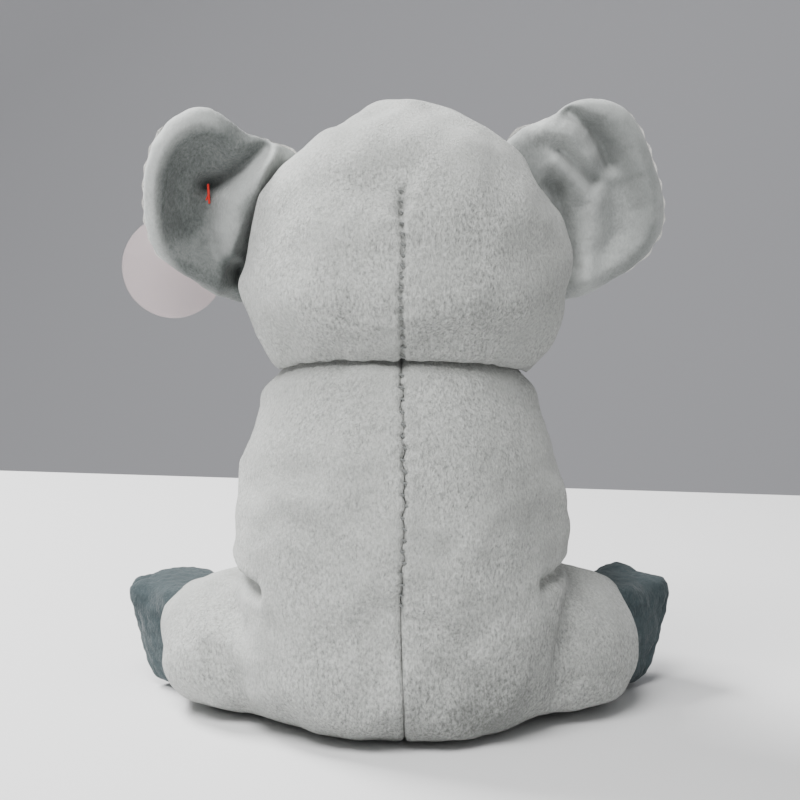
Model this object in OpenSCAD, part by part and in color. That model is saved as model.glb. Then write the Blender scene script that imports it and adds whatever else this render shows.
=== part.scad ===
// Stuffed elephant, seated, facing -Y, +Z up. Millimetres.
// The origin is the centre of the flat seat face on the floor.
// Padded bodies turn on round interfaces: the head over the torso dome,
// each ear on its root roll, trunk, arms and legs on balls in pockets.

/* [Skin and clearances] */
// Thickness of the pile fabric
skin = 2.5; // [1.5:0.1:4]
// Clearance between two bodies that turn against each other
gap = 0.4; // [0.3:0.05:1]

/* [Torso] */
// Widest radius of the belly
belly_radius = 66; // [60:0.5:72]
// Radius of the flat face the toy sits on
seat_radius = 44; // [36:0.5:46]
// Radius of the dome under the head
dome_radius = 60; // [56:0.5:61]
// Height of the dome centre, which the head turns and nods about
dome_z = 105; // [102:0.5:108]
// Plane of the side seam between belly and back
side_seam_y = -12; // [-20:1:0]
// Radius of the filling plug in the neck opening
neck_plug_radius = 28; // [20:0.5:32]
// Lower end of the neck plug
neck_plug_z = 118; // [112:1:130]

/* [Head] */
// Half width and half height of the head
head_radius = 68; // [62:0.5:72]
// Half depth of the head
head_depth = 56; // [50:0.5:62]
// Head centre, behind the front of the face
head_y = -4; // [-10:0.5:2]
// Height of the head centre
head_z = 180; // [172:0.5:188]
// Height of the neck seam at the sides
neck_seam_z = 140; // [136:0.5:146]
// Slope of the neck seam, high at the back
neck_tilt = 17; // [8:0.5:24]
// Plane of the seam between face and back of head
head_seam_y = -8; // [-16:1:4]

/* [Ears] */
// Radius of the round ear
ear_radius = 40; // [34:0.5:44]
// Half thickness in the middle of the ear
ear_half = 6; // [4:0.25:9]
// Radius of the rolled ear root
root_radius = 8; // [6:0.25:9]
// Half length of the straight part of the root
root_half = 30; // [22:0.5:34]
// Middle of the root, out from the centre line
root_x = 60.4; // [56:0.2:66]
// Middle of the root, fore and aft
root_y = -8; // [-16:0.5:0]
// Middle of the root, height
root_z = 201; // [194:0.5:208]
// Lean of the root towards the crown
root_lean = 17.6; // [10:0.2:24]
// How far the ear points forward
ear_yaw = 15; // [0:1:30]

/* [Trunk] */
// Fore and aft place of the trunk pivot
trunk_y = -57; // [-62:0.5:-52]
// Height of the trunk pivot
trunk_z = 172; // [164:0.5:180]
// Radius of the trunk root ball
trunk_ball = 18; // [15:0.5:20]
// Radius of the trunk where it leaves the face
trunk_wide = 14; // [10:0.5:15]
// Radius of the trunk tip
trunk_tip = 10; // [7:0.5:12]

/* [Eyes] */
// Radius of the eye dome
eye_radius = 5.5; // [4:0.25:8]
// Distance of an eye from the middle of the face
eye_out = 34; // [26:0.5:42]
// Rise of an eye above the horizontal through the head centre
eye_rise = 32; // [10:1:45]

/* [Arms] */
// Shoulder pivot out from the centre line
shoulder_x = 43; // [38:0.5:46]
// Shoulder pivot fore and aft
shoulder_y = -52; // [-56:0.5:-48]
// Shoulder pivot height
shoulder_z = 102; // [96:0.5:106]
// Radius of the shoulder ball
shoulder_ball = 15; // [13:0.5:17]
// Length from shoulder pivot to paw centre
arm_length = 46; // [36:1:52]
// Slope of the arm below level
arm_drop = 15; // [5:1:20]

/* [Legs] */
// Hip pivot out from the centre line
hip_x = 59; // [56:0.5:62]
// Hip pivot fore and aft
hip_y = -17; // [-22:0.5:-14]
// Hip pivot height
hip_z = 26; // [25:0.5:30]
// Radius of the hip ball
hip_ball = 23; // [20:0.5:24]
// Widest radius of the thigh
thigh_radius = 24; // [20:0.5:25]
// Direction of the leg, forward of straight out
leg_yaw = 42; // [25:1:60]
// Distance from hip pivot to the sole
sole_reach = 65; // [60:0.5:74]
// Radius of the foot
foot_radius = 22; // [18:0.5:23]
// Lean of the sole, outward at the top
sole_lean = 15; // [0:1:25]

/* [Hang tag] */
// Radius of the tag
tag_radius = 21; // [15:0.5:25]
// Thickness of the tag
tag_thick = 0.8; // [0.5:0.1:1.5]
// Hole of the tag above its centre
tag_hole_up = 17; // [12:0.5:20]
// Pivot of the tag out from the centre line
tag_x = 93; // [86:0.5:98]
// Plane the tag hangs in
tag_y = -30; // [-36:0.5:-26]
// Pivot of the tag, height
tag_z = 197; // [190:0.5:204]

/* [Hidden] */
$fn = 64;
big = 400;
cushion_steps = 19;
half_steps = 10;
round_steps = 5;
root_turn = 50;
belly_scale = belly_radius / 66;
belly_points = [
    [46, 0], [52.5, 1.8], [57.5, 5.5], [61.2, 12], [63.4, 21], [64.8, 35],
    [65.7, 55], [66, 75], [65.8, 85], [65, 94], [63.4, 102], [61.5, 108]
];
dome_join = [59.2, 113];
belly_mid_z = 84;
bean_points = [[0, 5], [25, 5], [30, 9], [30, 17], [24, 23], [0, 25]];
thread_rise = 0.6;
thread_wide = 1.2;
dome = [0, 0, dome_z];
neck_point = [0, 0, neck_seam_z];
cone_slope = 0.65;
cone_base = 49;
cone_high = 130;
neck_ring_up = (neck_seam_z - dome_z) * cos(neck_tilt);
neck_thread_reach = dome_radius + gap + 1.2;
eye_reach = eye_radius + 0.5;
eye_sink = 0.6;
shank_radius = 2;
shank_long = 11;
washer_radius = 7;
washer_thick = 1.6;
washer_depth = 4.4;
eye_slope = asin(eye_out / head_radius);
eye_tilt = atan(head_depth / head_radius * tan(eye_slope));
trunk_bend = [28, 37];
trunk_run = [20, 30];
trunk_middle = 12.5;
joint_swell = 0.5;
arm_out = 10;
arm_wide = 12;
paw_radius = 14.5;
ball_steps = 12;
ball_angle = 119;
thigh_end = 54;
thigh_points = [[13, 19.5], [20, 19.8], [28, 22.4], [34, thigh_radius], [40, thigh_radius], [thigh_end, 20.5]];
seam_turn = 40;
foot_points = [
    [0, 0], [18, 0], [20.6, -1.2], [22, -4], [22.5, -10], [21.6, -17],
    [18.5, -24], [13, -28], [0, -30]
];
sole_points = [[0, 3.2], [12, 2.9], [17.5, 2], [20, 0.9], [20.5, 0], [0, 0]];
foot_scale = foot_radius / 22;
bar_radius = 0.9;
bar_half = 4;
filament_radius = 0.6;
fastener_x = 20;
fastener_z = 4;
disc_x = 6.4;
disc_z = 3;
hole_radius = 1.8;
paddle_radius = 2.8;

// ---- shared shapes -------------------------------------------------------

// Mirrors a left-hand shape to the right when side is -1
module on_side(side) {
    if (side > 0) children();
    if (side < 0) mirror([1, 0, 0]) children();
}

// Half space on the positive side of x, or the negative side when side is -1
module x_half(side) {
    translate([side > 0 ? 0 : -big, -big, -big]) cube([big, 2 * big, 2 * big]);
}

function cushion_point(radius, half, a) = [a < 180 ? radius * sin(a) : 0, half * cos(a)];

// Round cushion, its short axis along Y
module cushion(radius, half) {
    rotate([90, 0, 0]) rotate_extrude() {
        polygon([for (i = [0 : cushion_steps]) cushion_point(radius, half, 180 * i / cushion_steps)]);
    }
}

// Straight round bar from point p to point q
module bar(p, q, radius) {
    d = q - p;
    flat = sqrt(d[0] * d[0] + d[1] * d[1]);
    translate(p) rotate([0, atan2(flat, d[2]), atan2(d[1], d[0])]) cylinder(h=norm(d), r=radius);
}

// ---- torso ---------------------------------------------------------------

// Belly outline moved in by t
function belly_line(t) = [
    for (p = belly_points)
        [p[0] * belly_scale - t, p[1] + t * max(0, 1 - p[1] / belly_mid_z)]
];

// Pear-shaped torso with its dome, moved in by t
module torso_mass(t) {
    union() {
        translate(dome) sphere(r=dome_radius - t);
        rotate_extrude() {
            polygon(concat([[0, t]], belly_line(t), [[dome_join[0] - t, dome_join[1]], [0, dome_join[1]]]));
        }
    }
}

// Pockets and the neck bore that other bodies turn in
module torso_pockets() {
    for (side = [1, -1]) {
        on_side(side) {
            translate([hip_x, hip_y, hip_z]) sphere(r=hip_ball + gap);
            translate([shoulder_x, shoulder_y, shoulder_z]) sphere(r=shoulder_ball + gap);
        }
    }
    translate([0, 0, neck_plug_z - gap]) cylinder(h=big, r=neck_plug_radius + gap);
}

module torso_skin() {
    difference() {
        torso_mass(0);
        torso_mass(skin);
        torso_pockets();
        translate([0, 0, -1]) cylinder(h=skin + 1, r=seat_radius);
    }
}

// Region behind the side seam
module behind(y) {
    translate([-big, y, -big]) cube([2 * big, big, 2 * big]);
}

module back_panel_left() {
    color("darkseagreen") intersection() {
        torso_skin();
        behind(side_seam_y);
        x_half(1);
    }
}

module back_panel_right() {
    color("darkseagreen") intersection() {
        torso_skin();
        behind(side_seam_y);
        x_half(-1);
    }
}

module belly_panel() {
    color("darkseagreen") difference() {
        torso_skin();
        behind(side_seam_y);
    }
}

module seat_panel() {
    color("seagreen") cylinder(h=skin, r=seat_radius);
}

module bean_shape() {
    rotate_extrude() polygon(bean_points);
}

module torso_filling() {
    color("whitesmoke") difference() {
        torso_mass(skin);
        torso_pockets();
        bean_shape();
    }
}

module bean_bag() {
    color("wheat") bean_shape();
}

// Hand-sewn closing stitches down the middle of the back
module back_seam_thread() {
    color("dimgray") intersection() {
        difference() {
            torso_mass(-thread_rise);
            torso_mass(0);
        }
        translate([-thread_wide / 2, 0, 62]) cube([thread_wide, big, 80]);
    }
}

// ---- neck ----------------------------------------------------------------

module neck_filling() {
    color("whitesmoke") intersection() {
        translate(dome) sphere(r=dome_radius);
        translate([0, 0, neck_plug_z]) cylinder(h=big, r=neck_plug_radius);
    }
}

// ---- head ----------------------------------------------------------------

// Frame of the neck seam plane
module at_neck() {
    translate(neck_point) rotate([neck_tilt, 0, 0]) children();
}

// Head mass moved in by t, narrowing to the neck seam and hollowed for the dome
module head_mass(t) {
    difference() {
        intersection() {
            translate([0, head_y, head_z]) cushion(head_radius - t, head_depth - t);
            at_neck() {
                cylinder(h=cone_high, r1=cone_base + 1.5 - t, r2=cone_base + 1.5 - t + cone_slope * cone_high);
            }
        }
        translate(dome) sphere(r=dome_radius + gap);
    }
}

// Places a left-hand shape in the ear frame: X out, Y back, Z along the root
module at_ear() {
    translate([root_x, root_y, root_z]) rotate([0, 0, -ear_yaw]) rotate([0, -root_lean, 0]) children();
}

// Gathered ear root: a roll with rounded ends
module ear_root(radius) {
    rotate([0, 0, root_turn]) rotate_extrude() {
        polygon(concat(
            [for (i = [0 : round_steps]) root_point(radius, -root_half, 90 * i / round_steps - 90)],
            [for (i = [0 : round_steps]) root_point(radius, root_half, 90 * i / round_steps)]
        ));
    }
}

function root_point(radius, z, a) = [abs(a) < 90 ? radius * cos(a) : 0, z + radius * sin(a)];

module head_pockets() {
    for (side = [1, -1]) on_side(side) at_ear() ear_root(root_radius + gap);
    translate([0, trunk_y, trunk_z]) sphere(r=trunk_ball + gap);
}

// Places an eye, its axis out of the face
module at_eye(side) {
    on_side(side) translate([0, head_y, head_z]) rotate([0, -eye_rise, 0]) {
        translate([eye_out, -head_depth * cos(eye_slope), 0]) rotate([90, 0, eye_tilt]) {
            translate([0, 0, -eye_sink]) children();
        }
    }
}

module eye_shape() {
    intersection() {
        sphere(r=eye_radius);
        cylinder(h=eye_reach, r=eye_reach);
    }
    translate([0, 0, -shank_long]) cylinder(h=shank_long + 1, r=shank_radius);
}

module washer_slug() {
    translate([0, 0, -washer_depth]) cylinder(h=washer_thick, r=washer_radius);
}

module head_skin() {
    difference() {
        head_mass(0);
        head_mass(skin);
        head_pockets();
    }
}

module head_back_panel() {
    color("darkseagreen") intersection() {
        head_skin();
        behind(head_seam_y);
    }
}

module face_panel(side) {
    difference() {
        head_skin();
        behind(head_seam_y);
        x_half(-side);
        at_eye(side) eye_shape();
    }
}

module face_panel_left() {
    color("darkseagreen") face_panel(1);
}

module face_panel_right() {
    color("darkseagreen") face_panel(-1);
}

module head_filling() {
    color("whitesmoke") difference() {
        head_mass(skin);
        head_pockets();
        at_eye(1) eye_shape();
        at_eye(-1) eye_shape();
        at_eye(1) washer_slug();
        at_eye(-1) washer_slug();
    }
}

module eye_left() {
    color("black") at_eye(1) eye_shape();
}

module eye_right() {
    color("black") at_eye(-1) eye_shape();
}

module washer_shape() {
    difference() {
        washer_slug();
        translate([0, 0, -shank_long]) cylinder(h=shank_long, r=shank_radius);
    }
}

module eye_washer_left() {
    color("white") at_eye(1) washer_shape();
}

module eye_washer_right() {
    color("white") at_eye(-1) washer_shape();
}

// Hand-sewn closing stitches low on the back of the head
module head_seam_thread() {
    color("dimgray") intersection() {
        difference() {
            head_mass(-thread_rise);
            head_mass(0);
        }
        translate([-thread_wide / 2, 0, 158]) cube([thread_wide, big, 56]);
    }
}

// Ladder stitches round the neck, held under the rim of the head
module neck_seam_thread() {
    ring = sqrt(neck_thread_reach * neck_thread_reach - neck_ring_up * neck_ring_up);
    color("dimgray") translate(dome) rotate([neck_tilt, 0, 0]) translate([0, 0, neck_ring_up - thread_wide / 2]) {
        difference() {
            cylinder(h=thread_wide / 2, r=ring + thread_rise);
            translate([0, 0, -1]) cylinder(h=3, r=ring - thread_rise / 2);
            translate([0, 0, thread_wide / 2 - neck_ring_up]) sphere(r=dome_radius + gap);
        }
    }
}

// ---- trunk ---------------------------------------------------------------

function drop_dir(angle) = [0, -cos(angle), -sin(angle)];
trunk_root = [0, trunk_y, trunk_z];
trunk_elbow = trunk_root + trunk_bend[0] * drop_dir(trunk_bend[1]);
trunk_end = trunk_elbow + trunk_run[0] * drop_dir(trunk_run[1]);

// Trunk mass moved in by t: root ball, two tapered lengths, round tip
module trunk_mass(t) {
    translate(trunk_root) sphere(r=trunk_ball - t);
    translate(trunk_root) rotate([90 + trunk_bend[1], 0, 0]) {
        cylinder(h=trunk_bend[0], r1=trunk_wide - t, r2=trunk_middle - t);
    }
    translate(trunk_elbow) sphere(r=trunk_middle + joint_swell - t);
    translate(trunk_elbow) rotate([90 + trunk_run[1], 0, 0]) {
        cylinder(h=trunk_run[0], r1=trunk_middle - t, r2=trunk_tip - t);
    }
    translate(trunk_end) sphere(r=trunk_tip + joint_swell - t);
}

module trunk_skin(side) {
    difference() {
        trunk_mass(0);
        trunk_mass(skin);
        x_half(-side);
    }
}

module trunk_skin_left() {
    color("darkseagreen") trunk_skin(1);
}

module trunk_skin_right() {
    color("darkseagreen") trunk_skin(-1);
}

module trunk_filling() {
    color("whitesmoke") trunk_mass(skin);
}

// ---- ears ----------------------------------------------------------------

// Half of the round ear, on its back side or its front side
module ear_half_disc(side) {
    intersection() {
        translate([disc_x, 0, disc_z]) rotate([-90 * side, 0, 0]) rotate_extrude() {
            polygon(concat(
                [for (i = [0 : half_steps]) cushion_point(ear_radius, ear_half, 90 * i / half_steps)],
                [[0, 0]]
            ));
        }
        x_half(1);
    }
}

// Point of the ear frame in the part frame
function from_ear(p) = [
    root_x + cos(ear_yaw) * (p[0] * cos(root_lean) - p[2] * sin(root_lean)) + sin(ear_yaw) * p[1],
    root_y - sin(ear_yaw) * (p[0] * cos(root_lean) - p[2] * sin(root_lean)) + cos(ear_yaw) * p[1],
    root_z + p[0] * sin(root_lean) + p[2] * cos(root_lean)
];
tag_pivot = [tag_x, tag_y, tag_z];
filament_back = from_ear([fastener_x, ear_half + bar_radius, fastener_z]);
filament_over = 0.1 * (tag_pivot - filament_back);

// Straight line of the fastener filament through the left ear
module ear_hole() {
    bar(filament_back - filament_over, tag_pivot, filament_radius);
}

module ear_back() {
    ear_half_disc(1);
    ear_root(root_radius);
}

module ear_lining() {
    difference() {
        ear_half_disc(-1);
        ear_root(root_radius);
    }
}

module ear_back_left() {
    color("darkseagreen") difference() {
        at_ear() ear_back();
        ear_hole();
    }
}

module ear_lining_left() {
    color("linen") difference() {
        at_ear() ear_lining();
        ear_hole();
    }
}

module ear_back_right() {
    color("darkseagreen") mirror([1, 0, 0]) at_ear() ear_back();
}

module ear_lining_right() {
    color("linen") mirror([1, 0, 0]) at_ear() ear_lining();
}

// T-bar behind the ear, filament through ear and tag, paddle in front
module tag_fastener() {
    color("firebrick") {
        translate(filament_back - [0, 0, bar_half]) cylinder(h=2 * bar_half, r=bar_radius);
        bar(filament_back, tag_pivot + filament_over, filament_radius);
        translate(tag_pivot + filament_over + [0, 0.5, 0]) rotate([90, 0, 0]) cylinder(h=1, r=paddle_radius);
    }
}

module hang_tag() {
    color("lavenderblush") translate(tag_pivot) rotate([90, 0, 0]) translate([0, 0, -tag_thick / 2]) {
        difference() {
            translate([0, -tag_hole_up, 0]) cylinder(h=tag_thick, r=tag_radius);
            translate([0, 0, -1]) cylinder(h=tag_thick + 2, r=hole_radius);
        }
    }
}

// ---- arms ----------------------------------------------------------------

// Arm frame: Z along the arm from shoulder to paw
module at_arm() {
    translate([shoulder_x, shoulder_y, shoulder_z]) rotate([90 + arm_drop, 0, arm_out]) children();
}

module arm_mass(t) {
    sphere(r=shoulder_ball - t);
    cylinder(h=arm_length, r1=arm_wide - t, r2=paw_radius - t);
    translate([0, 0, arm_length]) sphere(r=paw_radius - t);
}

// Disc of contrasting fabric let into the end of the paw
module pad_cut() {
    translate([0, 0, arm_length + paw_radius - 6]) cylinder(h=20, r=paw_radius);
}

module arm_skin(side) {
    difference() {
        arm_mass(0);
        arm_mass(skin);
        pad_cut();
        x_half(-side);
    }
}

module paw_pad() {
    difference() {
        intersection() {
            arm_mass(0);
            pad_cut();
        }
        arm_mass(skin);
    }
}

module arm_outer_left() {
    color("darkseagreen") at_arm() arm_skin(1);
}

module arm_inner_left() {
    color("darkseagreen") at_arm() arm_skin(-1);
}

module paw_pad_left() {
    color("darkslategray") at_arm() paw_pad();
}

module arm_filling_left() {
    color("whitesmoke") at_arm() arm_mass(skin);
}

module arm_outer_right() {
    color("darkseagreen") mirror([1, 0, 0]) at_arm() arm_skin(1);
}

module arm_inner_right() {
    color("darkseagreen") mirror([1, 0, 0]) at_arm() arm_skin(-1);
}

module paw_pad_right() {
    color("darkslategray") mirror([1, 0, 0]) at_arm() paw_pad();
}

module arm_filling_right() {
    color("whitesmoke") mirror([1, 0, 0]) at_arm() arm_mass(skin);
}

// ---- legs ----------------------------------------------------------------

// Leg frame: X along the leg from hip to foot
module at_leg() {
    translate([hip_x, hip_y, hip_z]) rotate([0, 0, -leg_yaw]) children();
}

function ball_point(radius, a) = [a > 0 ? radius * sin(a) : 0, -radius * cos(a)];

// Foot frame: Z out of the sole, which leans outward at the top
module at_foot() {
    translate([sole_reach, 0, -1]) rotate([0, 90 + sole_lean, 0]) rotate([0, 0, seam_turn]) children();
}

// Hip ball and tapered thigh as one turned outline, moved in by t
module thigh_mass(t) {
    rotate([0, 90, 0]) rotate([0, 0, seam_turn]) rotate_extrude() {
        polygon(concat(
            [for (i = [0 : ball_steps]) ball_point(hip_ball - t, ball_angle * i / ball_steps)],
            [for (p = thigh_points) [p[1] - t, p[0]]],
            [[0, thigh_end]]
        ));
    }
}

module foot_mass(t) {
    at_foot() rotate_extrude() {
        polygon([for (p = foot_points) [max(0, p[0] * foot_scale - (p[0] > 0 ? t : 0)), p[1] * (1 - t / 15) - t * 0.6]]);
    }
}

module leg_core() {
    thigh_mass(skin);
    foot_mass(skin);
}

module thigh_skin() {
    difference() {
        thigh_mass(0);
        foot_mass(0);
        leg_core();
    }
}

module leg_back() {
    color("darkseagreen") at_leg() intersection() {
        thigh_skin();
        behind(0);
    }
}

module leg_front() {
    color("darkseagreen") at_leg() difference() {
        thigh_skin();
        behind(0);
    }
}

module foot_upper() {
    color("darkslategray") at_leg() difference() {
        foot_mass(0);
        leg_core();
    }
}

module foot_sole() {
    color("darkslategray") at_leg() at_foot() rotate_extrude() {
        polygon([for (p = sole_points) [p[0] * foot_scale, p[1]]]);
    }
}

module leg_back_left() {
    leg_back();
}

module leg_front_left() {
    leg_front();
}

module foot_upper_left() {
    foot_upper();
}

module foot_sole_left() {
    foot_sole();
}

module leg_filling_left() {
    color("whitesmoke") at_leg() leg_core();
}

module leg_back_right() {
    mirror([1, 0, 0]) leg_back();
}

module leg_front_right() {
    mirror([1, 0, 0]) leg_front();
}

module foot_upper_right() {
    mirror([1, 0, 0]) foot_upper();
}

module foot_sole_right() {
    mirror([1, 0, 0]) foot_sole();
}

module leg_filling_right() {
    color("whitesmoke") mirror([1, 0, 0]) at_leg() leg_core();
}

// ---- selection -----------------------------------------------------------

back_panel_left();
back_panel_right();
belly_panel();
seat_panel();
torso_filling();
bean_bag();
back_seam_thread();
neck_filling();
head_back_panel();
face_panel_left();
face_panel_right();
head_filling();
eye_left();
eye_right();
eye_washer_left();
eye_washer_right();
head_seam_thread();
neck_seam_thread();
trunk_skin_left();
trunk_skin_right();
trunk_filling();
ear_back_left();
ear_lining_left();
tag_fastener();
ear_back_right();
ear_lining_right();
arm_outer_left();
arm_inner_left();
paw_pad_left();
arm_filling_left();
arm_outer_right();
arm_inner_right();
paw_pad_right();
arm_filling_right();
leg_back_left();
leg_front_left();
foot_upper_left();
foot_sole_left();
leg_filling_left();
leg_back_right();
leg_front_right();
foot_upper_right();
foot_sole_right();
leg_filling_right();
hang_tag();
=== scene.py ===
import math

import bmesh
import bpy
import numpy as np
import openvdb
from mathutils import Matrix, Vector
from mathutils.kdtree import KDTree


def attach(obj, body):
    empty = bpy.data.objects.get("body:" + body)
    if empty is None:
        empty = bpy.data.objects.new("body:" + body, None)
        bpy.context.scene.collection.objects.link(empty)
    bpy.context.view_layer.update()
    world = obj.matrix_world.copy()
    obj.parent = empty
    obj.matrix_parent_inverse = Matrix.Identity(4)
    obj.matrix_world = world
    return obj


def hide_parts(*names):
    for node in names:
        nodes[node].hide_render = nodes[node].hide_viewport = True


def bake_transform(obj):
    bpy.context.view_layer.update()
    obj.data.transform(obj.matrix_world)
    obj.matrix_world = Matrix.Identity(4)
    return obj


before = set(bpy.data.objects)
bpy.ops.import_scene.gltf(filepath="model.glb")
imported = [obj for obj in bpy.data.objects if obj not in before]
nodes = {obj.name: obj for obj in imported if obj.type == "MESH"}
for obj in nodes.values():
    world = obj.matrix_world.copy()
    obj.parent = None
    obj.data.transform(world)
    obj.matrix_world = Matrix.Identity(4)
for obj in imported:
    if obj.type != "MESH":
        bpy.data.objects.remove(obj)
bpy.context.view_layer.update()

# Lengths below are in millimetres and turn into metres when a mesh is made.
MM = 0.001
DOME = (0, 0, 105)
NECK_SLOPE = 0.29
COVER_STEP = 1.5


# ---- numbers ---------------------------------------------------------------

def smooth_min(a, b, k):
    h = np.maximum(k - np.abs(a - b), 0) / k
    return np.minimum(a, b) - h * h * k / 4


def smooth_max(a, b, k):
    return -smooth_min(-a, -b, k)


def ellipsoid(x, y, z, centre, radii):
    p = [(v - c) / r for v, c, r in zip((x, y, z), centre, radii)]
    q = [v / r for v, r in zip(p, radii)]
    k0 = np.sqrt(p[0] ** 2 + p[1] ** 2 + p[2] ** 2)
    k1 = np.sqrt(q[0] ** 2 + q[1] ** 2 + q[2] ** 2) + 1e-9
    return k0 * (k0 - 1) / k1


def rod(x, y, z, a, b, ra, rb):
    """Distance to a round rod from a to b whose radius goes from ra to rb."""
    d = [q - p for p, q in zip(a, b)]
    along = (x - a[0]) * d[0] + (y - a[1]) * d[1] + (z - a[2]) * d[2]
    t = np.clip(along / (d[0] ** 2 + d[1] ** 2 + d[2] ** 2), 0, 1)
    return np.sqrt((x - a[0] - t * d[0]) ** 2 + (y - a[1] - t * d[1]) ** 2
                   + (z - a[2] - t * d[2]) ** 2) - (ra + (rb - ra) * t)


def waves(p, size, seed, count=20):
    """Smooth noise, mostly from -1 to 1, with features of about that size."""
    rng = np.random.default_rng(seed)
    total = np.zeros(p.shape[:-1])
    for _ in range(count):
        d = rng.normal(size=3)
        d *= rng.uniform(0.7, 1.5) * 2 * math.pi / size / np.linalg.norm(d)
        total += np.sin(p @ d + rng.uniform(0, 6.28))
    return total * (1.6 / count) ** 0.5


def line_near(p, points, width):
    """1 on the polyline, falling off smoothly over width."""
    best = np.full(p.shape[:-1], 1e9)
    for a, b in zip(points[:-1], points[1:]):
        a, b = np.array(a, float), np.array(b, float)
        d = b - a
        t = np.clip(((p - a) @ d) / (d @ d), 0, 1)
        best = np.minimum(best, np.linalg.norm(p - a - t[..., None] * d, axis=-1))
    return np.exp(-(best / width) ** 2)


def ramp(v, low, high):
    t = np.clip((v - low) / (high - low), 0, 1)
    return t * t * (3 - 2 * t)


# ---- meshes ----------------------------------------------------------------

def mesh_object(name, points, faces, material):
    mesh = bpy.data.meshes.new(name)
    mesh.from_pydata([tuple(p) for p in np.asarray(points, float) * MM], [], [tuple(f) for f in faces])
    bm = bmesh.new()
    bm.from_mesh(mesh)
    bmesh.ops.recalc_face_normals(bm, faces=bm.faces)
    bm.to_mesh(mesh)
    bm.free()
    mesh.polygons.foreach_set("use_smooth", [True] * len(mesh.polygons))
    obj = bpy.data.objects.new(name, mesh)
    bpy.context.scene.collection.objects.link(obj)
    mesh.materials.append(material)
    return obj


def solid(name, field, low, high, step, material):
    """Closed mesh where field(x, y, z) is below 0, inside the box low to high."""
    axes = [np.arange(l, h, step) for l, h in zip(low, high)]
    x, y, z = np.meshgrid(*axes, indexing="ij")
    values = np.clip(field(x, y, z), -3 * step, 3 * step)
    grid = openvdb.FloatGrid(3 * step)
    grid.copyFromArray(values.astype(np.float32))
    points, quads = grid.convertToQuads(0.0)
    return mesh_object(name, np.array(low) + step * np.array(points, float), quads.tolist(), material)


def points_of(obj):
    co = np.zeros(len(obj.data.vertices) * 3)
    obj.data.vertices.foreach_get("co", co)
    return co.reshape(-1, 3) / MM


def normals_of(obj):
    n = np.zeros(len(obj.data.vertices) * 3)
    obj.data.vertex_normals.foreach_get("vector", n)
    return n.reshape(-1, 3)


def set_points(obj, co):
    obj.data.vertices.foreach_set("co", (co * MM).ravel())
    obj.data.update()


def push(obj, amount, seam=None):
    """Moves the surface out by amount(p) mm along its normals, but not across the seam plane."""
    p = points_of(obj)
    n = normals_of(obj)
    if seam is not None:
        n[:, 0] *= 1 - np.exp(-((p[:, 0] - seam(p[:, 2])) / 5) ** 2)
    set_points(obj, p + n * amount(p)[:, None])


def set_painted_light_and_tone(obj, tone=0.0, extra=None):
    """Painted light and shade per vertex: lighter where the surface faces up and to the left, darker below,
    plus a slow random tone.
    """
    p, n = points_of(obj), normals_of(obj)
    painted_light_and_tone = 0.5 + tone + 0.20 * n[:, 2] + 0.10 * n[:, 0] + 0.05 * waves(p, 60, 90)
    if extra is not None:
        painted_light_and_tone = painted_light_and_tone + extra(p)
    layer = obj.data.attributes.get("painted_light_and_tone") or obj.data.attributes.new("painted_light_and_tone", "FLOAT", "POINT")
    layer.data.foreach_set("value", np.clip(painted_light_and_tone, 0, 1).astype(np.float32))


def finer(obj, levels=1):
    m = obj.modifiers.new("finer", "SUBSURF")
    m.levels = levels
    dg = bpy.context.evaluated_depsgraph_get()
    made = bpy.data.meshes.new_from_object(obj.evaluated_get(dg))
    obj.modifiers.clear()
    obj.data = made


def stuff(obj, held, pressure=4.0, most=2.5):
    """Fills a sewn cover: a coarse copy swells as cloth, held at its seams, and the fine mesh follows it."""
    coarse = obj.copy()
    coarse.data = obj.data.copy()
    bpy.context.scene.collection.objects.link(coarse)
    m = coarse.modifiers.new("coarse", "REMESH")
    m.mode, m.voxel_size = "VOXEL", 5 * MM
    dg = bpy.context.evaluated_depsgraph_get()
    coarse_mesh = bpy.data.meshes.new_from_object(coarse.evaluated_get(dg))
    coarse.modifiers.clear()
    coarse.data = coarse_mesh
    before = points_of(coarse)
    group = coarse.vertex_groups.new(name="seam")
    weight = np.clip(held(before), 0, 1)
    for i, w in enumerate(weight):
        if w > 0.02:
            group.add([i], float(w), "REPLACE")
    cloth = coarse.modifiers.new("fill", "CLOTH")
    s = cloth.settings
    s.quality = 6
    s.mass = 0.3
    s.tension_stiffness = s.compression_stiffness = 15
    s.shear_stiffness = 8
    s.bending_stiffness = 0.3
    s.use_pressure = True
    s.uniform_pressure_force = pressure
    s.shrink_min = -0.03
    s.vertex_group_mass = "seam"
    s.effector_weights.gravity = 0
    cloth.collision_settings.use_collision = False
    scene = bpy.context.scene
    scene.frame_start, scene.frame_end = 1, 20
    cloth.point_cache.frame_start, cloth.point_cache.frame_end = 1, 20
    for f in range(1, 21):
        scene.frame_set(f)
    dg = bpy.context.evaluated_depsgraph_get()
    done = coarse.evaluated_get(dg).to_mesh()
    after = np.zeros(len(done.vertices) * 3)
    done.vertices.foreach_get("co", after)
    moved = after.reshape(-1, 3) / MM - before
    coarse.evaluated_get(dg).to_mesh_clear()
    scene.frame_set(1)
    size = np.linalg.norm(moved, axis=1, keepdims=True) + 1e-9
    moved *= most * np.tanh(size / most) / size
    tree = KDTree(len(before))
    for i, p in enumerate(before):
        tree.insert(p, i)
    tree.balance()
    fine = points_of(obj)
    shift = np.zeros_like(fine)
    for i, p in enumerate(fine):
        near = tree.find_n(p, 14)
        w = np.array([math.exp(-(d / 5.5) ** 2) + 1e-6 for _, _, d in near])
        shift[i] = (w[:, None] * moved[[k for _, k, _ in near]]).sum(0) / w.sum()
    set_points(obj, fine + shift)
    bpy.data.objects.remove(coarse)
    print("CLOTH", obj.name, "moved up to", round(float(size.max()), 2), "mm")


# ---- materials -------------------------------------------------------------

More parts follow.
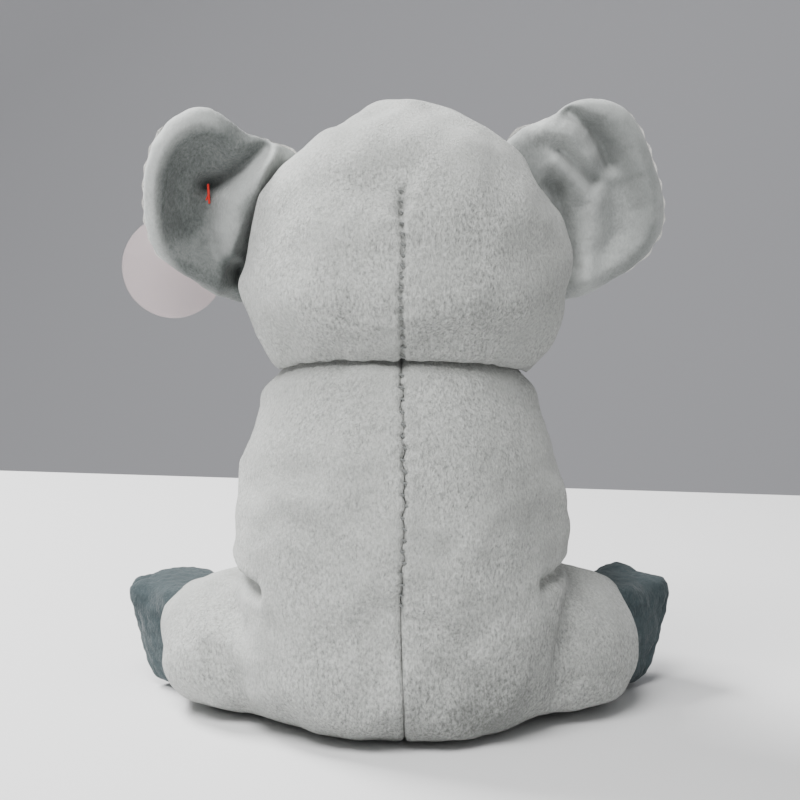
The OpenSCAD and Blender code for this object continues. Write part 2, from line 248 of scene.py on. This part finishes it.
def material(name, colour, rough, sheen=0.0, sheen_rough=0.5):
    m = bpy.data.materials.new(name)
    m.use_nodes = True
    b = m.node_tree.nodes["Principled BSDF"]
    b.inputs["Base Color"].default_value = (*colour, 1)
    b.inputs["Roughness"].default_value = rough
    b.inputs["Sheen Weight"].default_value = sheen
    b.inputs["Sheen Roughness"].default_value = sheen_rough
    b.inputs["Specular IOR Level"].default_value = 0.2
    return m


def plush(name, dark, light, pile=1.0, brushed=True):
    """Short brushed pile: fine tufts, patches where the pile lies another way, a soft edge glow, and painted
    light and shade from each vertex.
    """
    m = material(name, light, 0.95, 0.22, 0.4)
    t = m.node_tree
    b = t.nodes["Principled BSDF"]
    at = t.nodes.new("ShaderNodeTexCoord")

    def noise(scale, detail, rough=0.6, stretch=(1, 1, 1)):
        mapping = t.nodes.new("ShaderNodeMapping")
        mapping.inputs["Scale"].default_value = stretch
        n = t.nodes.new("ShaderNodeTexNoise")
        n.inputs["Scale"].default_value = scale
        n.inputs["Detail"].default_value = detail
        n.inputs["Roughness"].default_value = rough
        t.links.new(at.outputs["Object"], mapping.inputs["Vector"])
        t.links.new(mapping.outputs["Vector"], n.inputs["Vector"])
        return n.outputs["Fac"]

    def math_node(kind, a, c):
        n = t.nodes.new("ShaderNodeMath")
        n.operation = kind
        for slot, v in zip(n.inputs, (a, c)):
            if isinstance(v, (int, float)):
                slot.default_value = v
            else:
                t.links.new(v, slot)
        return n.outputs[0]

    tufts = noise(880, 3.0, 0.65, (1, 1, 0.62))
    hairs = noise(1700, 2.0, 0.7, (1, 1, 0.5))
    patches = noise(26, 2.0)
    lie = t.nodes.new("ShaderNodeMapRange")
    lie.inputs["From Min"].default_value = 0.40
    lie.inputs["From Max"].default_value = 0.60
    lie.inputs["To Min"].default_value = 0.35 if brushed else 0.8
    lie.inputs["To Max"].default_value = 1.0
    t.links.new(patches, lie.inputs["Value"])
    tuft_part = math_node("MULTIPLY", math_node("SUBTRACT", tufts, 0.5), lie.outputs[0])
    hair_part = math_node("MULTIPLY", math_node("SUBTRACT", hairs, 0.5), 0.45)
    height = math_node("ADD", tuft_part, hair_part)
    tone = math_node("ADD", math_node("MULTIPLY", height, 2.0 * pile), 0.58)
    tone = math_node("ADD", tone, math_node("MULTIPLY", math_node("SUBTRACT", patches, 0.5), 0.5))
    # Painted light and shade from each vertex moves the tone lighter or darker.
    painted_light_input = t.nodes.new("ShaderNodeAttribute")
    painted_light_input.attribute_name = "painted_light_and_tone"
    tone = math_node("ADD", tone, math_node("SUBTRACT", painted_light_input.outputs["Fac"], 0.5))
    mix = t.nodes.new("ShaderNodeValToRGB")
    mix.color_ramp.elements[0].color = (*dark, 1)
    mix.color_ramp.elements[1].color = (*light, 1)
    t.links.new(tone, mix.inputs["Fac"])
    t.links.new(mix.outputs["Color"], b.inputs["Base Color"])
    bump = t.nodes.new("ShaderNodeBump")
    bump.inputs["Strength"].default_value = 0.85
    bump.inputs["Distance"].default_value = 0.0015 * pile
    t.links.new(height, bump.inputs["Height"])
    t.links.new(bump.outputs["Normal"], b.inputs["Normal"])
    return m


grey = plush("plush", (0.18, 0.187, 0.177), (0.63, 0.643, 0.617))
teal = plush("foot", (0.012, 0.022, 0.026), (0.080, 0.103, 0.110), 0.6)
# A darker copy of the plush, with painted shade, for the backs of the ears.
shaded = plush("plush_ear_painted_shade", (0.075, 0.084, 0.081), (0.56, 0.58, 0.565), 0.22)
cream = plush("lining", (0.62, 0.60, 0.56), (0.88, 0.87, 0.84), 0.9)
thread = material("thread", (0.20, 0.21, 0.205), 0.7)
black = material("eye", (0.008, 0.008, 0.009), 0.08)
red = material("fastener", (0.62, 0.03, 0.02), 0.3)
card = material("tag", (0.80, 0.70, 0.71), 0.35)
card.node_tree.nodes["Principled BSDF"].inputs["Transmission Weight"].default_value = 0.55
card.node_tree.nodes["Principled BSDF"].inputs["Alpha"].default_value = 0.75


# ---- body and legs ---------------------------------------------------------

def seam_x(z):
    hand = ramp(z, 57, 66)
    return (-0.7 + 0.9 * np.sin(z * 0.045) - 1.3 * ramp(z, 70, 20)
            + hand * (0.5 * np.sin(z * 0.62) + 0.35 * np.sin(z * 0.93 + 1)))


def body_field(side):
    def field(x, y, z):
        p = np.stack([x, y, z], -1)
        lump = 0.9 * waves(p, 46, 3) + 0.35 * waves(p, 20, 4)
        u = x * side
        wide = 1.0 if side > 0 else 1.02
        dome = ellipsoid(x, y, z, DOME, (59.6, 59.4, 59.6))
        belly = ellipsoid(x, y, z, (0, -2, 61), (67 * wide, 62, 61))
        seat = ellipsoid(x, y, z, (0, -4, 22), (69, 61, 40))
        d = smooth_min(smooth_min(dome, belly, 24), seat, 20)
        thigh = ellipsoid(u, y, z, (61, -12, 25.5), (36, 36, 31))
        shin = rod(u, y, z, (62, -20, 26), (77, -38, 25), 26, 22.5)
        leg = smooth_min(thigh, shin, 14)
        d = smooth_min(d, leg, 5)
        d = d + lump * ramp(np.abs(dome), 0.6, 6)
        d = smooth_max(d, 0.4 - z, 9)
        neck = z - (140 + NECK_SLOPE * y)
        d = d - 1.7 * np.exp(-((neck + 6.5) / 5) ** 2)
        return smooth_max(d, side * (seam_x(z) - x) - 0.12, 2.0)
    return field


LEFT_CREASES = [
    ([(58, 36, 59), (63, 24, 60), (67, 6, 60.5), (67, -20, 61)], 3.6, -7.0),
    ([(50, 36, 3), (63, 26, 10), (72, 24, 22), (78, 20, 33)], 3.4, -2.2),
    ([(79, 16, 47), (75, 22, 40)], 3.2, -1.2),
    ([(30, 52, 101), (20, 56, 97)], 2.6, -0.7),
]
RIGHT_CREASES = [
    ([(-58, 36, 63), (-64, 24, 64), (-68, 6, 64), (-68, -20, 64)], 3.4, -6.0),
    ([(-63, 24, 63), (-70, 20, 58), (-76, 16, 49)], 2.6, -1.9),
    ([(-67, 16, 65), (-75, 10, 58)], 2.2, -1.3),
    ([(-50, 36, 3), (-62, 28, 10), (-70, 26, 20)], 3.6, -1.6),
]


def body_detail(side, creases):
    def amount(p):
        x, y, z = p.T
        out = np.zeros(len(p))
        for points, width, depth in creases:
            out += depth * line_near(p, points, width)
        off = x - seam_x(z)
        back = ramp(y, 10, 25)
        hand = ramp(z, 58, 64)
        stitch = 0.5 + 0.5 * np.cos(2 * math.pi * z / 4.3 + 1.2 * np.sin(z * 0.31))
        out += -1.1 * hand * back * stitch * np.exp(-(off / 1.3) ** 2)
        pucker = np.sin(z * 0.73 + 2 * np.sin(z * 0.21) + side)
        out += 0.22 * pucker * np.exp(-(off / 6) ** 2) * back
        neck = z - (140 + NECK_SLOPE * y)
        turn = np.arctan2(x, y)
        out += -0.25 * np.exp(-(neck / 2.0) ** 2) * (0.5 + 0.5 * np.cos(turn * 48))
        out += 0.2 * np.sin(turn * 23 + 2 * np.sin(turn * 9)) * np.exp(-((neck + 5) / 7) ** 2)
        out += 0.05 * waves(p, 5.5, 11) + 0.12 * waves(p, 15, 12)
        return out
    return amount


def body_held(p):
    x, y, z = p.T
    seam = np.exp(-((x - seam_x(z)) / 4) ** 2)
    top = ramp(z, 118, 132)
    floor = ramp(z, 5, 2)
    side_seam = np.exp(-((y + 12) / 3.5) ** 2)
    return np.maximum.reduce([seam, top, floor, side_seam])


# Painted shade: darker towards the floor away from the outer legs, and the right half a little darker.
def body_painted_shade(p):
    low = ramp(p[:, 2], 45, 5) * ramp(np.abs(p[:, 0]), 70, 45)
    return -0.16 * low - 0.05 * (p[:, 0] < 0)


body = {}
for side, name, creases in ((1, "left", LEFT_CREASES), (-1, "right", RIGHT_CREASES)):
    low = (-4, -74, -3) if side > 0 else (-112, -74, -3)
    high = (112, 68, 172) if side > 0 else (4, 68, 172)
    o = solid("body_" + name, body_field(side), low, high, COVER_STEP, grey)
    stuff(o, body_held)
    finer(o)
    push(o, body_detail(side, creases), seam_x)
    set_painted_light_and_tone(o, 0.0, body_painted_shade)
    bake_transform(o)
    body[name] = o
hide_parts("back_panel_left", "belly_panel", "seat_panel", "torso_filling", "bean_bag",
            "leg_back_left", "leg_front_left", "leg_filling_left")
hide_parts("back_panel_right", "leg_back_right", "leg_front_right", "leg_filling_right")


def stitches(name, places, normals, reach, seed):
    """Short hand stitches drawn into the pile, as one mesh of small round threads."""
    rng = np.random.default_rng(seed)
    points, faces = [], []
    for place, n in zip(places, normals):
        n = n / np.linalg.norm(n)
        across = np.cross(n, (0, 0, 1.0))
        across = across / np.linalg.norm(across)
        along = np.cross(across, n)
        lean = rng.uniform(0.2, 0.8)
        d = across + lean * along
        d = d / np.linalg.norm(d)
        w = np.cross(d, n)
        size = reach * rng.uniform(0.8, 1.2)
        base = len(points)
        for i, t in enumerate(np.linspace(-1, 1, 9)):
            c = place + d * t * size + n * (0.35 - 1.1 * t * t)
            r = 0.38 * math.sqrt(max(1.02 - t * t, 0.02))
            for k in range(8):
                a = k * math.pi / 4
                points.append(c + r * (math.cos(a) * w + math.sin(a) * n))
            if i:
                for k in range(8):
                    q = (k + 1) % 8
                    ring, last = base + 8 * i, base + 8 * i - 8
                    faces.append((last + k, last + q, ring + q, ring + k))
        faces.append(tuple(base + k for k in range(8)))
        faces.append(tuple(base + 64 + k for k in range(7, -1, -1)))
    return mesh_object(name, points, faces, thread)


def surface_along(objs, near_x, heights):
    """Points on the back of these meshes at each height, close to the line x = near_x(z)."""
    p = np.concatenate([points_of(o) for o in objs])
    n = np.concatenate([normals_of(o) for o in objs])
    keep = (p[:, 1] > 5) & (np.abs(p[:, 0] - near_x(p[:, 2])) < 3.2) & (n[:, 1] > 0.2)
    p, n = p[keep], n[keep]
    found, facing = [], []
    for z in heights:
        w = np.exp(-((p[:, 2] - z) / 1.5) ** 2)
        found.append(np.array([near_x(z), (w * p[:, 1]).sum() / w.sum(), z]))
        facing.append(np.array([0, (w * n[:, 1]).sum(), (w * n[:, 2]).sum()]))
    return found, facing


heights = np.arange(60, 150, 4.3)
places, facing = surface_along(body.values(), seam_x, heights)
back_stitches = stitches("back_stitches", places, facing, 1.5, 5)
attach(back_stitches, "torso")
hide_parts("back_seam_thread")


# ---- head ------------------------------------------------------------------

def head_seam_x(z):
    return -0.7 - 0.5 * np.sin(z * 0.17)


def head_field(x, y, z):
    p = np.stack([x, y, z], -1)
    lump = 0.8 * waves(p, 40, 21) + 0.3 * waves(p, 18, 22)
    d = ellipsoid(x, y, z, (-2.5, -4, 180), (63, 55, 66))
    cheeks = ellipsoid(x, y, z, (-3.5, -2, 171), (62.5, 51, 36))
    d = smooth_min(d, cheeks, 10)
    snout = rod(x, y, z, (0, -38, 176), (0, -52, 172), 24, 19)
    d = smooth_min(d, snout, 14)
    neck = 138.6 + NECK_SLOPE * y - z
    reach = 0.87 * (np.sqrt((x + 1) ** 2 + (y / 0.97) ** 2) - 51 - 0.56 * (z - 140 - NECK_SLOPE * y))
    d = smooth_max(d, reach, 8)
    d = d + lump
    d = smooth_max(d, neck, 5)
    cup = 61.0 - np.sqrt(x ** 2 + y ** 2 + (z - 105) ** 2)
    return smooth_max(d, cup, 1.2)


def head_detail(p):
    x, y, z = p.T
    out = np.zeros(len(p))
    off = x - head_seam_x(z)
    hand = ramp(z, 218, 212) * ramp(y, 5, 20)
    stitch = 0.55 + 0.45 * np.cos(2 * math.pi * z / 4.6 + np.sin(z * 0.4))
    out += -1.9 * hand * (0.5 + 0.5 * stitch) * np.exp(-(off / 1.1) ** 2)
    out += 0.35 * hand * np.exp(-(off / 8) ** 2) * np.sin(z * 0.8 + np.sign(off))
    out += -2.2 * line_near(p, [(-1, 42, 216), (-0.6, 47, 208)], 2.8)
    out += -0.7 * line_near(p, [(-3, 37, 218), (-9, 33, 225), (-18, 27, 230)], 2.0)
    out += 0.5 * line_near(p, [(-6, 40, 214), (-14, 36, 222)], 4.0)
    out += -0.5 * line_near(p, [(-46, 24, 222), (-38, 34, 206)], 2.4)
    neck = z - (140 + NECK_SLOPE * y)
    turn = np.arctan2(x, y)
    out += -0.25 * np.exp(-(neck / 2.2) ** 2) * (0.5 + 0.5 * np.cos(turn * 48))
    out += 0.15 * np.sin(turn * 21 + 2 * np.sin(turn * 8)) * np.exp(-((neck - 6) / 8) ** 2)
    out += 0.05 * waves(p, 5.5, 31) * ramp(z, 225, 200) + 0.1 * waves(p, 15, 32)
    return out


def head_held(p):
    x, y, z = p.T
    cup = np.exp(-((np.sqrt(x ** 2 + y ** 2 + (z - 105) ** 2) - 61) / 3) ** 2)
    seam = np.exp(-((x + 0.7) / 4) ** 2) * ramp(z, 216, 206) * ramp(y, 0, 20)
    side_seam = np.exp(-((y + 8) / 3.5) ** 2)
    face_seam = np.exp(-(x / 4) ** 2) * ramp(y, 0, -20)
    return np.maximum.reduce([cup, seam, side_seam, face_seam])


def head_painted_light(p):
    """Painted light on the crown, painted shade to the right, and a dark line of painted shade in the back
    seam.
    """
    x, y, z = p.T
    crown = 0.10 * ramp(z, 205, 235)
    right = 0.08 * ramp(-x, 0, 40) * ramp(z, 225, 195)
    seam = 0.32 * np.exp(-((x - head_seam_x(z)) / 0.7) ** 2) * ramp(z, 218, 212) * ramp(y, 5, 20)
    return crown - right - seam


head = solid("head_cover", head_field, (-76, -76, 118), (74, 60, 252), COVER_STEP, grey)
stuff(head, head_held)
finer(head)
push(head, head_detail)
set_painted_light_and_tone(head, 0.0, head_painted_light)
heights = np.arange(153, 218, 3.9)
places, facing = surface_along([head], head_seam_x, heights)
head_stitches = stitches("head_stitches", places, facing, 1.4, 8)
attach(head_stitches, "head")
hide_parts("head_seam_thread")
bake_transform(head)
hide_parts("head_back_panel", "face_panel_left", "face_panel_right", "head_filling",
            "eye_washer_left", "eye_washer_right", "neck_seam_thread", "neck_filling")


# ---- ears ------------------------------------------------------------------

def outline(knots, count):
    """Smooth closed curve through the knots, as points."""
    k = np.array(knots, float)
    n = len(k)
    s = np.arange(count) * n / count
    i = s.astype(int)
    t = (s - i)[:, None]
    p0, p1, p2, p3 = k[(i - 1) % n], k[i % n], k[(i + 1) % n], k[(i + 2) % n]
    return 0.5 * (2 * p1 + (p2 - p0) * t + (2 * p0 - 5 * p1 + 4 * p2 - p3) * t ** 2
                  + (3 * p1 - p0 - 3 * p2 + p3) * t ** 3)


TAG_BACK = -29.6  # the y of the hang tag's face towards the ear


def ear_half(name, knots, centre, height, back, material_used, grow):
    """One fabric side of an ear, as a closed skin between its outer face and the seam plane."""
    around, rings = ((420, 100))
    edge = (outline(knots, around) - centre) * 0.975
    out = ramp(np.abs(edge[:, 0]), 12, 24)[:, None]
    edge = edge * (1 + grow * out * (1 + 0.5 * np.sin(edge[:, 1:] * 0.9)) - (0.006 if grow else 0))
    rho = np.linspace(0, 1, rings + 1)[1:]
    rho = 1 - (1 - rho) ** 1.35
    flat = centre + rho[:, None, None] * edge[None]
    x, z = flat[..., 0], flat[..., 1]
    r = np.broadcast_to(rho[:, None], x.shape)
    mid, puff = height(x, z, r)
    inset = (1 - rho[:, None]) * np.linalg.norm(edge, axis=1)[None]
    bulge = puff * np.sqrt(np.maximum(1 - np.maximum(1 - inset / 7.0, 0) ** 2, 0))
    # The hang tag swings just in front of the left ear, so the whole ear stays behind its plane.
    mid = smooth_max(mid, TAG_BACK + 1.4, 1.5)
    outer = smooth_max(mid + back * bulge, TAG_BACK + 0.7, 1.0)
    inner = mid + back * 0.15 * (1 - r ** 8)
    layer_a = np.stack([x, outer, z], -1).reshape(-1, 3)
    layer_b = np.stack([x, inner, z], -1)[:-1].reshape(-1, 3)
    mid0, puff0 = height(np.array(centre[0]), np.array(centre[1]), np.array(0.0))
    tips = [[centre[0], mid0 + back * puff0, centre[1]], [centre[0], mid0 + back * 0.15, centre[1]]]
    points = np.concatenate([layer_a, layer_b, tips])
    na, nb = len(layer_a), len(layer_b)
    faces = []
    for layer, start, count in (("a", 0, rings), ("b", na, rings - 1)):
        for i in range(count - 1):
            for j in range(around):
                k = (j + 1) % around
                faces.append((start + i * around + j, start + i * around + k,
                              start + (i + 1) * around + k, start + (i + 1) * around + j))
        tip = na + nb + (0 if layer == "a" else 1)
        for j in range(around):
            faces.append((tip, start + j, start + (j + 1) % around))
    last_a, last_b = (rings - 1) * around, na + (rings - 2) * around
    for j in range(around):
        k = (j + 1) % around
        faces.append((last_a + j, last_a + k, last_b + k, last_b + j))
    return mesh_object(name, points, faces, material_used)


def flat_near(x, z, points, width):
    return line_near(np.stack([x, z], -1), points, width)


LEFT_EAR = [
    (40, 226), (50, 232.4), (60, 236), (67, 241), (73, 245.3), (78.5, 246.6), (85, 245), (92, 240.5),
    (98, 232), (101.5, 220), (102.6, 207), (101.5, 196), (98, 187), (92, 181), (84, 175.5), (75, 169),
    (66, 165), (56, 164), (50, 176), (46, 195), (40, 212),
]
RIGHT_EAR = [
    (-38, 228), (-46, 237), (-54, 240.5), (-61, 244), (-68, 248.3), (-76, 250), (-84, 248.6), (-91, 244.5),
    (-97, 236), (-102, 223), (-106, 209), (-106.3, 198), (-102, 188.5), (-96, 182), (-88, 176.5),
    (-79, 171.3), (-70, 168), (-60, 168), (-55, 184), (-50, 205), (-42, 218),
]


def left_height(x, z, r):
    mid = -12 + 0.10 * (x - 62) + 0.16 * (z - 206) + 1.6 * np.sin((z - 180) * 0.05)
    mid = mid - 9.5 * ramp(r, 0.86, 0.48) * ramp(x, 60, 76)
    mid = mid + 8.0 * flat_near(x, z, [(48, 226), (56, 214), (63, 207), (67, 195), (67, 187)], 8.0)
    mid = mid - 9.0 * flat_near(x, z, [(53, 229), (62, 222.5), (70, 217), (76, 215)], 4.0)
    mid = mid - 2.6 * flat_near(x, z, [(80, 212), (78, 200), (77, 192)], 5.0)
    mid = mid - 7.0 * flat_near(x, z, [(66, 181), (62, 178), (59, 186)], 4.5)
    mid = mid - 9.0 * ramp(x + 0.42 * (z - 200), 62.5, 56)
    mid = mid + 2.8 * flat_near(x, z, [(80, 190), (74, 181), (68, 175), (60, 170)], 4.5)
    puff = 6.2 + 0.3 * np.sin(x * 0.3 + z * 0.21)
    return mid, puff


def right_height(x, z, r):
    mid = -10 + 0.12 * (x + 62) + 0.10 * (z - 206) + 1.4 * np.sin((z - 176) * 0.06)
    mid = mid - 5.5 * ramp(r, 0.88, 0.5) * ramp(-x, 60, 76)
    mid = mid - 7.0 * flat_near(x, z, [(-67, 243), (-76, 237), (-80.5, 230), (-83.5, 223)], 3.6)
    mid = mid - 5.5 * flat_near(x, z, [(-63, 229), (-70, 222.5), (-77, 216)], 3.0)
    mid = mid + 4.6 * flat_near(x, z, [(-57, 238), (-68, 235), (-75, 227)], 5.0)
    mid = mid + 4.6 * flat_near(x, z, [(-63, 225), (-71, 217), (-77, 208), (-77, 192), (-74, 178)], 5.5)
    mid = mid - 2.2 * flat_near(x, z, [(-86, 212), (-86, 194), (-82, 182)], 7.0)
    mid = mid - 6.5 * flat_near(x, z, [(-61, 214), (-66, 196), (-68, 182)], 3.6)
    puff = 5.8 + 0.3 * np.sin(x * 0.27 - z * 0.19)
    return mid, puff


def left_ear_painted_light(p):
    """Painted shade in the middle of the ear, with painted light on the rolled edge and on the lobe."""
    x, z = p[:, 0], p[:, 2]
    edge = ramp(np.hypot((x - 76) / 25.5, (z - 205) / 40), 0.66, 0.95) * ramp(x, 62, 82)
    lobe = flat_near(x, z, [(48, 226), (57, 213), (65, 206), (69, 194)], 9)
    return 0.62 * edge + 0.38 * lobe


# Painted light on the rolled edge and on the two ridges of the right ear.
def right_ear_painted_light(p):
    x, z = p[:, 0], p[:, 2]
    edge = ramp(np.hypot((x + 79) / 28, (z - 208) / 42), 0.78, 1.0) * ramp(-x, 66, 86)
    ridge = flat_near(x, z, [(-57, 238), (-68, 235), (-75, 227)], 7)
    ridge = ridge + flat_near(x, z, [(-63, 225), (-71, 217), (-77, 208), (-77, 192), (-74, 178)], 7)
    return 0.30 * edge + 0.24 * ridge


# Painted shade on the backs of the ears, the left ear much darker than the right, and painted light on their
# edges and ridges.
EAR_PAINTED_SHADE = {1: -0.46, -1: -0.16}
EAR_PAINTED_LIGHT = {1: left_ear_painted_light, -1: right_ear_painted_light}
EARS = ((1, "left", LEFT_EAR, left_height), (-1, "right", RIGHT_EAR, right_height))

for side, name, knots, height in EARS:
    centre = np.array([side * 74.0, 206.0])
    for part, facing, cloth, grow in (("back", 1, shaded, 0.0), ("lining", -1, cream, 0.022)):
        o = ear_half(f"ear_{part}_cover_{name}", knots, centre, height, facing, cloth, grow)
        push(o, lambda p: 0.05 * waves(p, 5.5, 41) + 0.12 * waves(p, 12, 42))
        set_painted_light_and_tone(o, EAR_PAINTED_SHADE[side] if part == "back" else 0.1, EAR_PAINTED_LIGHT[side] if part == "back" else None)
        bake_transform(o)
        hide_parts(f"ear_{part}_{name}")


# ---- trunk -----------------------------------------------------------------

def trunk_field(x, y, z):
    p = np.stack([x, y, z], -1)
    d = rod(x, y, z, (0, -50, 175), (0, -79, 155), 16.5, 13.2)
    d = smooth_min(d, rod(x, y, z, (0, -79, 155), (0, -96, 145), 13.0, 10.6), 6)
    folds = 0.8 * np.cos((y * 0.77 - z * 0.64) * 0.85) * ramp(y, -60, -70)
    return d + folds + 0.3 * waves(p, 16, 51)


def trunk_detail(p):
    """Fine lumps, and a groove where the two skins meet along the underside."""
    return 0.14 * waves(p, 5.5, 52) - 0.8 * np.exp(-(p[:, 0] / 1.3) ** 2) * ramp(p[:, 2], 165, 150)


trunk = solid("trunk_cover", trunk_field, (-22, -112, 128), (22, -30, 198), 1.6, grey)
finer(trunk)
push(trunk, trunk_detail)
set_painted_light_and_tone(trunk)
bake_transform(trunk)
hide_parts("trunk_skin_left", "trunk_skin_right", "trunk_filling")


# ---- arms ------------------------------------------------------------------

def arm_frame(side):
    drop, out = math.radians(15), math.radians(10)
    d = np.array([side * math.sin(out) * math.cos(drop), -math.cos(out) * math.cos(drop), -math.sin(drop)])
    root = np.array([side * 43.0, -52.0, 102.0])
    return root, d


for side, name in ((1, "left"), (-1, "right")):
    root, d = arm_frame(side)
    paw = root + 46 * d

    def arm_field(x, y, z):
        p = np.stack([x, y, z], -1)
        a = rod(x, y, z, tuple(root - 3 * d), tuple(root + 20 * d), 15.2, 13.4)
        b = rod(x, y, z, tuple(root + 20 * d), tuple(paw), 12.8, 14.6)
        end = (p - paw) @ d - 8.0
        return smooth_max(smooth_min(a, b, 6) + 0.4 * waves(p, 18, 61), end, 4)

    def pad_field(x, y, z):
        p = np.stack([x, y, z], -1)
        ball = np.linalg.norm(p - paw, axis=-1) - 14.3
        return smooth_max(ball, 7.7 - (p - paw) @ d, 2)

    centre = (root + paw) / 2
    o = solid("arm_cover_" + name, arm_field, centre - (34, 46, 36), centre + (34, 46, 36), 1.7, grey)
    finer(o)
    push(o, lambda p: 0.15 * waves(p, 5.5, 62))
    set_painted_light_and_tone(o)
    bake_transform(o)
    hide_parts(f"arm_outer_{name}", f"arm_inner_{name}", f"arm_filling_{name}")
    o = solid("paw_cover_" + name, pad_field, paw - (18, 24, 24), paw + (18, 18, 18), 1.2, teal)
    finer(o)
    push(o, lambda p: 0.15 * waves(p, 5.5, 63))
    set_painted_light_and_tone(o)
    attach(o, "arm_" + name)
    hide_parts("paw_pad_" + name)


# ---- feet ------------------------------------------------------------------

for side, name in ((1, "left"), (-1, "right")):
    hip = np.array([side * 59.0, -17.0, 26.0])
    yaw, lean = math.radians(44), math.radians(-22)
    out = np.array([side * math.cos(yaw), -math.sin(yaw), 0.0])
    across = np.array([side * math.sin(yaw), math.cos(yaw), 0.0])
    face = out * math.cos(lean) + np.array([0, 0, math.sin(lean)])
    middle = hip + 39.5 * out + np.array([0, 0, -3.0])

    def round_square(p):
        b, c = np.abs(p @ across) / 0.88, np.abs(p[..., 2]) / 1.02
        return (b ** 5 + c ** 5) ** (1 / 5)

    def foot_field(x, y, z):
        p = np.stack([x, y, z], -1) - middle
        tube = round_square(p) - 21.5 - 0.04 * (p @ out)
        body_ = smooth_max(smooth_max(tube, p @ face - 14.0, 5), -14 - p @ out, 4)
        body_ = body_ + 0.5 * waves(p, 22, 71)
        return smooth_max(body_, 0.5 - z, 3)

    def sole_field(x, y, z):
        p = np.stack([x, y, z], -1) - middle
        a = p @ face
        disc = round_square(p) - 21.3
        return smooth_max(smooth_max(disc, np.abs(a - 13.0) - 3.0, 3), 0.6 - z, 2)

    for part, field, tone in (("upper", foot_field, teal), ("sole", sole_field, teal)):
        o = solid(f"foot_{part}_cover_{name}", field, middle - (34, 34, 30), middle + (34, 34, 34), 1.4, tone)
        finer(o)
        push(o, lambda p: 0.15 * waves(p, 5.5, 72))
        set_painted_light_and_tone(o, -0.1, lambda p: 0.22 * ramp(p[:, 2], 36, 12))
        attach(o, "leg_" + name)
        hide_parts(f"foot_{part}_{name}")


# ---- eyes, tag -------------------------------------------------------------

for n, m in (("eye_left", black), ("eye_right", black), ("hang_tag", card)):
    nodes[n].data.materials.clear()
    nodes[n].data.materials.append(m)
    nodes[n].data.polygons.foreach_set("use_smooth", [True] * len(nodes[n].data.polygons))
    nodes[n].data.update()


def fastener_field(x, y, z):
    mid, puff = left_height(np.array(76.2), np.array(207.5), np.array(0.1))
    level = float(mid + puff) + 0.5
    bar = rod(x, y, z, (76.4, level, 207.4), (76.7, level + 0.4, 214.6), 0.5, 0.5)
    tick = rod(x, y, z, (76.5, level, 211.2), (78.6, level - 3.0, 206.2), 0.42, 0.42)
    line = rod(x, y, z, (78.6, level - 3.0, 206.2), (93.6, -31.4, 196.9), 0.4, 0.4)
    stop = np.maximum(np.hypot(x - 93.6, z - 196.9) - 2.6, np.abs(y + 31.6) - 0.45)
    return np.minimum(np.minimum(bar, tick), np.minimum(line, stop))


fastener = solid("fastener", fastener_field, (70, -36, 190), (100, 6, 219), 0.28, red)
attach(fastener, "ear_left")
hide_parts("tag_fastener")


# ---- room ------------------------------------------------------------------

def room_surface(name, corners, colour, rough, grain):
    m = material(name, colour, rough)
    t = m.node_tree
    b = t.nodes["Principled BSDF"]
    at = t.nodes.new("ShaderNodeTexCoord")
    n = t.nodes.new("ShaderNodeTexNoise")
    n.inputs["Scale"].default_value = grain
    n.inputs["Detail"].default_value = 4
    t.links.new(at.outputs["Object"], n.inputs["Vector"])
    bump = t.nodes.new("ShaderNodeBump")
    bump.inputs["Strength"].default_value = 0.12
    bump.inputs["Distance"].default_value = 0.002
    t.links.new(n.outputs["Fac"], bump.inputs["Height"])
    t.links.new(bump.outputs["Normal"], b.inputs["Normal"])
    o = mesh_object(name, corners, [(0, 1, 2, 3)], m)
    return o


room_surface("floor", [(-900, 1200, 0), (900, 1200, 0), (900, -625, 0), (-900, -337, 0)],
             (0.86, 0.86, 0.86), 0.7, 9)
backdrop_corners = ((-5000, -1500), (5000, -1500), (5000, 3500), (-5000, 3500))
room_surface("backdrop", [(x, -2600, z) for x, z in backdrop_corners],
             (0.60, 0.60, 0.625), 0.9, 30)

world = bpy.data.worlds.new("studio")
world.use_nodes = True
world.node_tree.nodes["Background"].inputs["Color"].default_value = (0.97, 0.98, 1.0, 1)
world.node_tree.nodes["Background"].inputs["Strength"].default_value = 0.31
bpy.context.scene.world = world


def area_light(name, place, target, size, power):
    data = bpy.data.lights.new(name, "AREA")
    data.shape, data.size, data.size_y = "RECTANGLE", size[0], size[1]
    data.energy = power
    o = bpy.data.objects.new(name, data)
    o.location = place
    o.rotation_euler = (Vector(target) - Vector(place)).to_track_quat("-Z", "Y").to_euler()
    bpy.context.scene.collection.objects.link(o)
    return o


area_light("key", (0.80, -0.60, 1.20), (0, 0, 0.12), (0.5, 0.5), 42)
area_light("fill", (0.40, 0.85, 1.65), (0, 0, 0.12), (1.0, 0.8), 40)

CAMERA_DISTANCE = 0.85
CAMERA_TILT = math.radians(9)
cam_data = bpy.data.cameras.new("camera")
cam_data.lens, cam_data.sensor_width = 95.6, 36
camera = bpy.data.objects.new("camera", cam_data)
bpy.context.scene.collection.objects.link(camera)
aim = Vector((0, 0, 0.1295))
camera.location = aim + CAMERA_DISTANCE * Vector((0, math.cos(CAMERA_TILT), math.sin(CAMERA_TILT)))
camera.rotation_euler = (aim - camera.location).to_track_quat("-Z", "Y").to_euler()
bpy.context.scene.camera = camera
